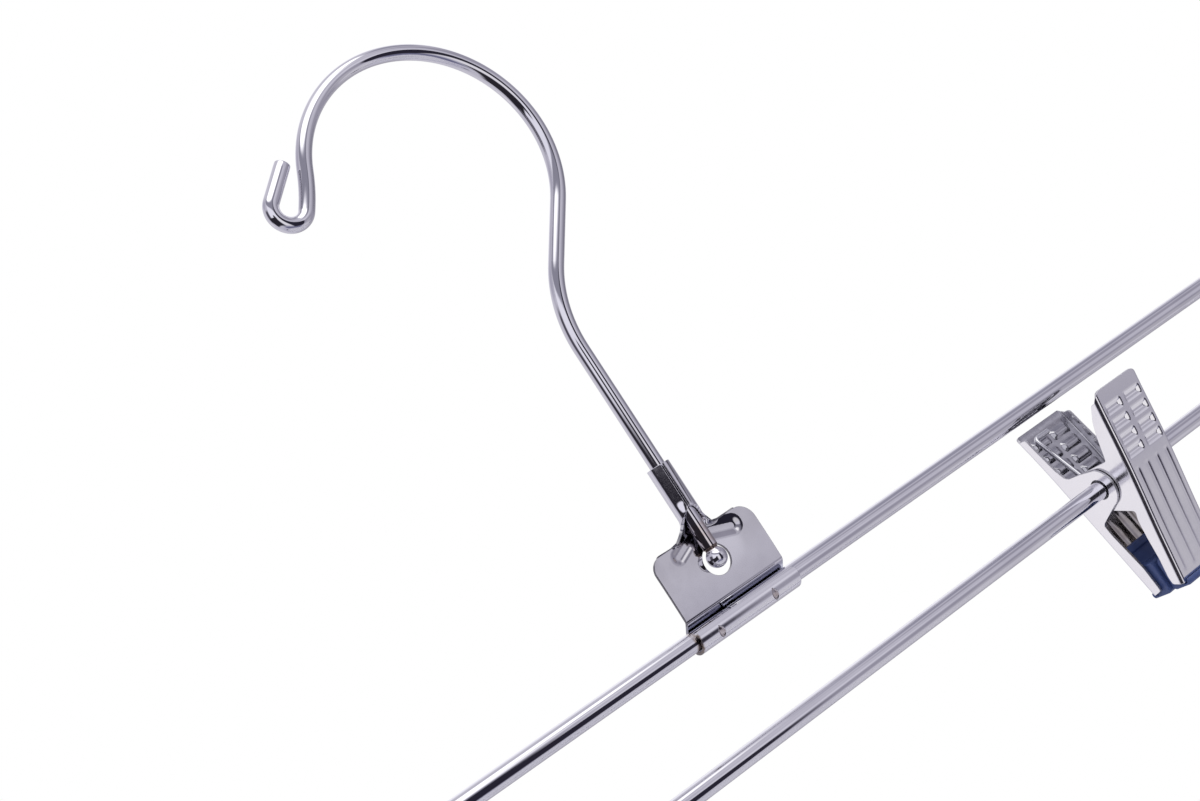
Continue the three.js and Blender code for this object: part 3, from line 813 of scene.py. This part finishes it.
def emboss(x, v, depth, groove):
    out = np.zeros_like(x)
    for gv in GRIP_ROWS:
        for gx in GRIP_X:
            r = 0.8
            ax = np.abs(x - gx) - GRIP_HALF[0] + r
            av = np.abs(v - gv) - GRIP_HALF[1] + r
            d = np.hypot(np.maximum(ax, 0), np.maximum(av, 0)) + np.minimum(np.maximum(ax, av), 0) - r
            out -= depth * smooth(-d / GRIP_SOFT)
    # long grooves that leave three flat ribs between them and fade towards the jaw
    deep, half, shift = groove
    run = smooth((v - GROOVE_V[0]) / 1.0) * smooth((GROOVE_V[1] - v) / 1.4)
    run *= 1 - 0.45 * np.clip((v - 18) / 20, 0, 1)
    for gx in GROOVE_X:
        out -= deep * run * np.exp(-(((x - gx - shift) / half) ** 2))
    return out


def flared(v):
    """Back handle bent out towards its end."""
    return 0.6 * np.clip(1 - v / 14.0, 0, 1) ** 2


def bowed(v):
    """Front lever set closer to the bar and bowed out a little round the pivot."""
    return FRONT_SET + 0.3 * np.sin(np.pi * np.clip(v / 32.0, 0, 1)) ** 2


def lever_mesh(width, corner, rise, flange, deep, groove, out):
    rm = FOLD_R - LEVER_SHEET / 2
    a = width / 2 - FOLD_R
    la = rm * math.pi / 2

    def mid(q):
        w, v = q[:, 0], q[:, 1]
        sg, aw = np.sign(w), np.abs(w)
        th = np.clip((aw - a) / rm, 0, math.pi / 2)
        x = np.minimum(aw, a) + rm * np.sin(th)
        d = LEVER_SHEET / 2 + rm * (1 - np.cos(th)) + np.maximum(aw - a - la, 0)
        x = sg * x
        d = d - emboss(x, v, deep, groove) * (aw < a) - out(v)
        y = LEVER_TOP[0] - v * math.sin(LEAN) - d * math.cos(LEAN)
        z = LEVER_TOP[1] - v * math.cos(LEAN) + d * math.sin(LEAN)
        return np.stack([x, y, z], 1)

    half = []
    for b in np.linspace(0, 90, 10):
        x = width / 2 - corner + corner * math.sin(rad(b))
        w = x if x < a else a + rm * math.asin(min(1.0, (x - a) / FOLD_R))
        half.append((w, corner * (1 - math.cos(rad(b))) - rise, 0))
    for y, z, r in flange:
        d, v = to_qv(y, z)
        half.append((a + la + d + float(out(v)) - FOLD_R, v, r))
    half.append((a + la * 0.4, LEVER_LEN, 0.4))
    full = half + [(-w, v, r) for w, v, r in reversed(half)]
    outline = resample(round_poly(full), 0.5)
    cq, cv = to_qv(0, 0)
    holes = []
    for s in (1, -1):
        ring = []
        for t in np.linspace(0, 2 * np.pi, 64, endpoint=False):
            v = cv + EAR_HOLE_R * math.sin(t)
            ring.append((s * (a + la + cq - FOLD_R + EAR_HOLE_R * math.cos(t) + float(out(v))), v))
        holes.append(np.array(ring))
    inner = [grid(-a, a, 0.25, 0.4 - rise, LEVER_LEN - 0.4, 0.25)]
    for s in (1, -1):
        for k in range(1, 9):
            w = s * (a + la * k / 8)
            inner.append(np.array([(w, v) for v in np.arange(0.5 - rise + 0.05 * (k % 2), LEVER_LEN - 0.3, 0.5)]))
    return sheet([outline] + holes, np.vstack(inner), mid, LEVER_SHEET, 0.08)


def arc_points(r, a0, a1, n):
    return [(r * math.cos(rad(a0 + (a1 - a0) * i / n)), r * math.sin(rad(a0 + (a1 - a0) * i / n)), 0) for i in range(n + 1)]


BACK_FLANGE = (
    [(10.6, 15.55, 1.2), (9.5, 11.83, 8), (8.05, 7.18, 6), (7.0, 5.15, 1.2), (6.0, 4.6, 1.0), (2.4, 4.42, 0.5)]
    + arc_points(4.2, 112, 256, 24)
    + [(4.25, -6.45, 0.5), (4.77, -7.0, 0.5), (4.4, -9.5, 6), (3.15, -14, 8), (2.1, -17.8, 6), (1.65, -22.2, 3), (1.6, -23.2, 0.6)]
)
FRONT_FLANGE = (
    [(10.5, 15.3, 0.8), (8.35, 12.43, 6), (7.0, 9.62, 6), (5.92, 6.47, 5), (5.2, 4.35, 0.8), (2.4, 4.35, 0.5)]
    + arc_points(5.0, 121, 246, 24)
    + [(4.4, -6.85, 0.6), (3.55, -8.6, 3), (2.9, -12.8, 8), (2.45, -17.3, 8), (1.65, -21.3, 3), (1.7, -23.0, 0.6)]
)


def pad_mesh(half_wide, narrow, lift):
    face = lambda z: LEVER_TOP[0] + lift - 0.2107 * (LEVER_TOP[1] - z) - LEVER_SHEET / math.cos(LEAN) - 0.06
    loop = [
        (face(-12.9), -12.9, 0.3),
        (face(-12.9) - 1.25, -13.05, 0.4),
        (face(-14.3) - 1.3, -14.35, 0.3),
        (face(-14.5) - 0.9, -14.6, 0.2),
        (face(-17.2) - 0.9, -17.25, 0.3),
        (0.75, -17.4, 0.8),
        (0.2, -18.4, 1.5),
        (0.15, -24.1, 0.5),
        (0.8, -24.5, 0.6),
        (5.05 + lift, -24.5, 0.4),
        (5.45 + lift, -24.0, 0.4),
        (5.4 + lift, -23.2, 0.28),
        (4.8 + lift, -23.2, 0.28),
        (4.65 + lift, -23.93, 0.12),
        (face(-23.9), -23.93, 0.12),
    ]
    loop = resample(round_poly(loop, 0.15), 0.3)
    if area(loop) < 0:
        loop = loop[::-1]
    m, k = outward(loop)
    r, steps = 0.4, 5

    def wide(p):
        z = p[:, 1]
        waist = smooth((-z - 14.3) / 0.35) * (1 - smooth((-z - 16.9) / 0.5))
        return half_wide - (half_wide - narrow) * waist

    verts, faces, rings, count = [], [], [], 0
    prof = [(0.2 * (1 - math.cos(b)), r * (1 - math.sin(b))) for b in np.linspace(math.pi / 2, 0, steps)]
    for s in (1, -1):
        order = prof if s > 0 else prof[::-1]
        for ins, drop in order:
            q = loop - m * (ins * np.minimum(k, 1.1))[:, None]
            verts.append(np.stack([s * (wide(q) - drop), q[:, 0], q[:, 1]], 1))
            rings.append(np.arange(count, count + len(loop)))
            count += len(loop)
    for a, b in zip(rings[:-1], rings[1:]):
        for i in range(len(loop)):
            j = (i + 1) % len(loop)
            faces.append((a[i], b[i], b[j], a[j]))
    for s, ring, edge in ((1, rings[0], verts[0]), (-1, rings[-1], verts[-1])):
        q = edge[:, 1:]
        extra = grid(0.2, 7, 0.4, -24.4, -13, 0.25)
        extra = extra[inside([q], extra)]
        extra = extra[gap([q], extra) > 0.15]
        pts, tris = mesh_area([q], extra)
        L = len(q)
        new = pts[L:]
        verts.append(np.stack([s * wide(new), new[:, 0], new[:, 1]], 1))
        index = np.concatenate([ring, np.arange(count, count + len(new))])
        count += len(new)
        for t in tris:
            t = index[t]
            faces.append(tuple(t) if s > 0 else tuple(t[::-1]))
    return np.vstack(verts), faces


def spring_paths():
    dist = math.hypot(*SPRING_LEG)
    touch = math.atan2(SPRING_LEG[1], SPRING_LEG[0]) - math.acos(SPRING_R / dist)
    a0 = math.pi - touch
    a1 = touch + 2 * math.pi * SPRING_TURNS
    n = int((a1 - a0) / rad(9))
    coil = []
    for i in range(n + 1):
        a = a0 + (a1 - a0) * i / n
        coil.append((SPRING_HALF - 2 * SPRING_HALF * i / n, SPRING_R * math.cos(a), SPRING_R * math.sin(a)))

    def leg(s):
        """Straight leg up to a bent-in tail; s is +1 for the back leg, -1 for the front."""
        x = -s * SPRING_HALF
        y0, z0 = s * SPRING_R * math.cos(touch), SPRING_R * math.sin(touch)
        y1, z1 = s * SPRING_LEG[0] - (FRONT_SET if s < 0 else 0), SPRING_LEG[1]
        d = np.array([0, y1 - y0, z1 - z0])
        length = np.linalg.norm(d)
        d /= length
        e = np.array([s, 0, 0.0])
        r = 0.9
        pts = [np.array([x, y0, z0]) + d * t for t in np.linspace(0, length - r, 8)]
        corner = np.array([x, y1, z1])
        c = corner - d * r + e * r
        for b in np.linspace(0, 90, 9)[1:]:
            pts.append(c - e * r * math.cos(rad(b)) + d * r * math.sin(rad(b)))
        pts.append(corner + e * (SPRING_TAIL - 0.06))
        pts.append(corner + e * SPRING_TAIL)
        radii = [SPRING_WIRE_R] * (len(pts) - 1) + [SPRING_WIRE_R - 0.06]
        return np.array(pts), radii

    return np.array(coil), leg(1), leg(-1)


def turned(v, normals=None):
    k = np.array([-1, -1, 1.0])
    return (v * k, None if normals is None else normals * k)


def build_clips():
    back = lever_mesh(BACK_WIDTH, 1.2, 0.0, BACK_FLANGE, GRIP_DEEP["back"], GROOVE["back"], flared)
    front = lever_mesh(FRONT_WIDTH, 2.0, 0.45, FRONT_FLANGE, GRIP_DEEP["front"], GROOVE["front"], bowed)
    back_pad = pad_mesh(6.45, 5.1, 0.0)
    front_pad = pad_mesh(5.75, 4.6, FRONT_SET)
    coil, back_leg, front_leg = spring_paths()
    for side, x in (("right", CLIP_X), ("left", -CLIP_X)):
        at = np.array([x, 0, -BAR_SPACING])
        v, f, n, k = back
        put(side + "_back_plate", v + at, f, CHROME_LEVER, side + "_clip_back", side + "_back_lever", normals=n, marks=k)
        v, f, n, k = front
        v, n = turned(v, n)
        put(side + "_front_plate", v + at, f, CHROME_LEVER, side + "_clip_front", side + "_front_lever", normals=n, marks=k)
        v, f = back_pad
        put(side + "_back_grip", v + at, f, PVC, side + "_clip_back", side + "_back_pad", sharp=60)
        v, f = front_pad
        put(side + "_front_grip", turned(v)[0] + at, f, PVC, side + "_clip_front", side + "_front_pad", sharp=60)
        v, f = tube(coil + at, SPRING_WIRE_R, 14, side=(1, 0, 0))
        ends = [tuple(row(at + np.array([d, 0, 0]))) for d in (-SPRING_HALF, SPRING_HALF)]
        put(side + "_spring_coil", v, f, SPRING_STEEL, None, side + "_spring",
            blend=(side + "_clip_back", side + "_clip_front", ends[0], ends[1]))
        for name, (p, r), body in (("back", back_leg, "_clip_back"), ("front", front_leg, "_clip_front")):
            v, f = tube(p + at, r, 14, side=(1, 0, 0))
            put(side + "_spring_" + name + "_leg", v, f, SPRING_STEEL, side + body, side + "_spring")


build_frame_wire()
build_hook()
build_bracket()
build_clips()


# ------------------------------------------------------------------------ stage
def build_floor():
    n = 96
    z, r = -0.48, 0.36
    verts = [(0, 0, z)]
    faces = []
    radii = np.linspace(0.04, r, 8)
    for rr in radii:
        for i in range(n):
            a = 2 * math.pi * i / n
            verts.append((rr * math.cos(a), rr * math.sin(a), z))
    for i in range(n):
        faces.append((0, 1 + i, 1 + (i + 1) % n))
    for k in range(len(radii) - 1):
        for i in range(n):
            j = (i + 1) % n
            faces.append((1 + k * n + i, 1 + (k + 1) * n + i, 1 + (k + 1) * n + j, 1 + k * n + j))
    me = bpy.data.meshes.new("floor")
    me.from_pydata(verts, [], faces)
    m, nd = material("pale_floor")
    bsdf = nd.new("ShaderNodeBsdfPrincipled")
    bsdf.inputs["Roughness"].default_value = 0.8
    out = nd.new("ShaderNodeOutputMaterial")
    coords = nd.new("ShaderNodeTexCoord").outputs["Object"]
    tone = nd.noise(coords, 30.0, 3.0)
    nd.link(nd.mix(nd.ramp(tone, 0.3, 0.7), rgb(0.86, 0.86, 0.88), rgb(0.83, 0.83, 0.85)), bsdf.inputs["Base Color"])
    length = nd.new("ShaderNodeVectorMath", operation="LENGTH")
    flat = nd.new("ShaderNodeVectorMath", operation="MULTIPLY")
    nd.link(coords, flat.inputs[0])
    flat.inputs[1].default_value = (1, 1, 0)
    nd.link(flat.outputs[0], length.inputs[0])
    nd.link(nd.ramp(length.outputs["Value"], 0.16, 0.35, 1.0, 0.0), bsdf.inputs["Alpha"])
    nd.link(bsdf.outputs[0], out.inputs["Surface"])
    me.materials.append(m)
    ob = bpy.data.objects.new("floor", me)
    bpy.context.scene.collection.objects.link(ob)


def build_world():
    """A white room as bright metal shows it: big soft light overhead, grey walls, dark flags left and right."""
    w = bpy.data.worlds.new("studio")
    bpy.context.scene.world = w
    w.use_nodes = True
    n = Nodes(w.node_tree)
    sep = n.new("ShaderNodeSeparateXYZ")
    n.link(n.new("ShaderNodeTexCoord").outputs["Generated"], sep.inputs[0])
    x, y, z = sep.outputs
    deg = 180 / math.pi
    az = n.math("MULTIPLY", n.math("ARCTAN2", x, n.math("MULTIPLY", y, -1.0)), deg)
    el = n.math("MULTIPLY", n.math("ARCSINE", z), deg)

    def above(v, edge, soft):
        return n.ramp(v, edge - soft, edge + soft)

    def below(v, edge, soft):
        return n.ramp(v, edge - soft, edge + soft, 1.0, 0.0)

    def all_of(*m):
        out = m[0]
        for k in m[1:]:
            out = n.math("MULTIPLY", out, k)
        return out

    def band(v, lo, hi, s0, s1=None):
        return all_of(above(v, lo, s0), below(v, hi, s0 if s1 is None else s1))

    def blob(a0, e0, ra, re, inner=0.4):
        da = n.math("DIVIDE", n.math("SUBTRACT", az, float(a0)), float(ra))
        de = n.math("DIVIDE", n.math("SUBTRACT", el, float(e0)), float(re))
        d = n.math("SQRT", n.math("ADD", n.math("MULTIPLY", da, da), n.math("MULTIPLY", de, de)))
        return n.ramp(d, inner, 1.0, 1.0, 0.0)

    col = rgb(0.50, 0.49, 0.55)

    def paint(mask, colour):
        nonlocal col
        col = n.mix(mask, col, rgb(*colour))

    # floor side and the far wall
    paint(below(el, -50, 8), (0.43, 0.42, 0.50))
    paint(blob(80, -52, 46, 16, 0.5), (0.52, 0.51, 0.55))
    back = n.math("MAXIMUM", above(az, 112, 10), below(az, -130, 10))
    paint(all_of(back, above(el, -48, 10)), (0.56, 0.55, 0.60))
    paint(all_of(band(az, 106, 164, 8), band(el, -46, 3, 8, 3)), (0.37, 0.36, 0.40))
    paint(blob(150, 30, 36, 27, 0.6), (0.86, 0.855, 0.90))
    paint(blob(80, 49, 32, 10, 0.55), (0.29, 0.285, 0.345))
    # right wall: grey, deepest abeam, lighter towards the front
    paint(all_of(above(az, 24, 4), below(az, 112, 8), band(el, -37, 38, 6)), (0.30, 0.29, 0.345))
    paint(blob(93, -2, 25, 21, 0.4), (0.19, 0.185, 0.22))
    paint(all_of(band(az, 22, 41, 4, 3), band(el, 10, 40, 5)), (0.50, 0.49, 0.55))
    paint(all_of(band(az, 22, 56, 4, 10), band(el, -8, 19, 7, 5)), (0.47, 0.46, 0.52))
    paint(blob(30, 3, 10, 11, 0.25), (0.60, 0.59, 0.65))
    # upper left wall
    paint(all_of(band(az, -156, -100, 12), band(el, 36, 60, 8)), (0.39, 0.38, 0.45))
    # overhead light
    edge = n.math("ADD", n.math("MULTIPLY", n.math("MAXIMUM", n.math("SUBTRACT", 12.0, az), 0.0), 0.5), 28.0)
    rise = n.math("SUBTRACT", el, edge)
    right = n.math("SUBTRACT", az, n.ramp(el, 40, 62, 30.0, 70.0, "LINEAR"))
    paint(all_of(band(az, -90, 25, 10, 4), band(rise, -18, -2, 3)), (0.24, 0.235, 0.285))
    lamp = all_of(above(rise, 1, 4), below(right, 0, 5), above(az, -66, 18), n.ramp(el, 66, 86, 1.0, 0.4))
    paint(lamp, (1.30, 1.30, 1.29))
    # front left: pale panel, dark column, long dark flag, gap
    paint(all_of(band(az, -67, 2, 5), above(el, 3, 2), below(rise, -19, 3)), (0.74, 0.735, 0.80))
    paint(all_of(band(az, -109, -74, 6), band(el, -12, 32, 6)), (0.07, 0.065, 0.085))
    top = n.ramp(az, -95, -60, 5.0, 2.5, "LINEAR")
    paint(all_of(band(az, -101, -24, 5), above(el, -36, 4), below(n.math("SUBTRACT", el, top), 0, 1.5)), (0.02, 0.018, 0.024))
    paint(all_of(band(az, -20, 3, 5, 3), band(el, -29, 3, 5, 2)), (0.70, 0.69, 0.71))
    paint(blob(-31, 2.5, 13, 9, 0.55), (0.02, 0.018, 0.024))
    # low front: navy fall-off, then the tall dark flag right of centre
    paint(all_of(band(az, -52, 34, 8), band(el, -64, -40, 8)), (0.13, 0.13, 0.21))
    slant = n.math("SUBTRACT", az, n.math("ADD", n.ramp(el, -36, -9, 38.0, 30.5, "LINEAR"), n.ramp(el, -9, 3, 0.0, -5.5, "LINEAR")))
    paint(all_of(above(az, 4, 4), below(slant, 0, 1.2), band(el, -43, 16, 4, 5)), (0.020, 0.018, 0.030))
    # bright door to the left, a little behind
    paint(blob(-138, -7, 15, 12, 0.5), (0.665, 0.65, 0.685))
    # pale table edge low on the right
    paint(all_of(band(az, 43, 64, 3, 8), band(el, -38, -22, 4)), (0.40, 0.39, 0.43))

    light = n.new("ShaderNodeBackground")
    n.link(col, light.inputs["Color"])
    light.inputs["Strength"].default_value = 1.22
    white = n.new("ShaderNodeBackground")
    white.inputs["Color"].default_value = rgb(1, 1, 1)
    pick = n.new("ShaderNodeMixShader")
    n.link(n.new("ShaderNodeLightPath").outputs["Is Camera Ray"], pick.inputs[0])
    n.link(light.outputs[0], pick.inputs[1])
    n.link(white.outputs[0], pick.inputs[2])
    n.link(pick.outputs[0], n.new("ShaderNodeOutputWorld").inputs["Surface"])


def build_camera():
    right = Vector((0.73605557, -0.40266909, -0.54413215))
    down = Vector((-0.43844398, 0.32884132, -0.83643904))
    ahead = Vector((0.51574128, 0.85423708, 0.06549765))
    cam = bpy.data.cameras.new("camera")
    cam.sensor_fit = "HORIZONTAL"
    cam.sensor_width = 36.0
    cam.lens = 61.544
    cam.clip_start = 0.01
    cam.clip_end = 20.0
    ob = bpy.data.objects.new("camera", cam)
    place = row((-189.330, -311.422, 20.660))
    m = Matrix((
        (right.x, -down.x, -ahead.x, place[0]),
        (right.y, -down.y, -ahead.y, place[1]),
        (right.z, -down.z, -ahead.z, place[2]),
        (0, 0, 0, 1),
    ))
    ob.matrix_world = m
    bpy.context.scene.collection.objects.link(ob)
    bpy.context.scene.camera = ob


build_floor()
build_world()
build_camera()
bpy.context.scene.view_settings.view_transform = "Standard"
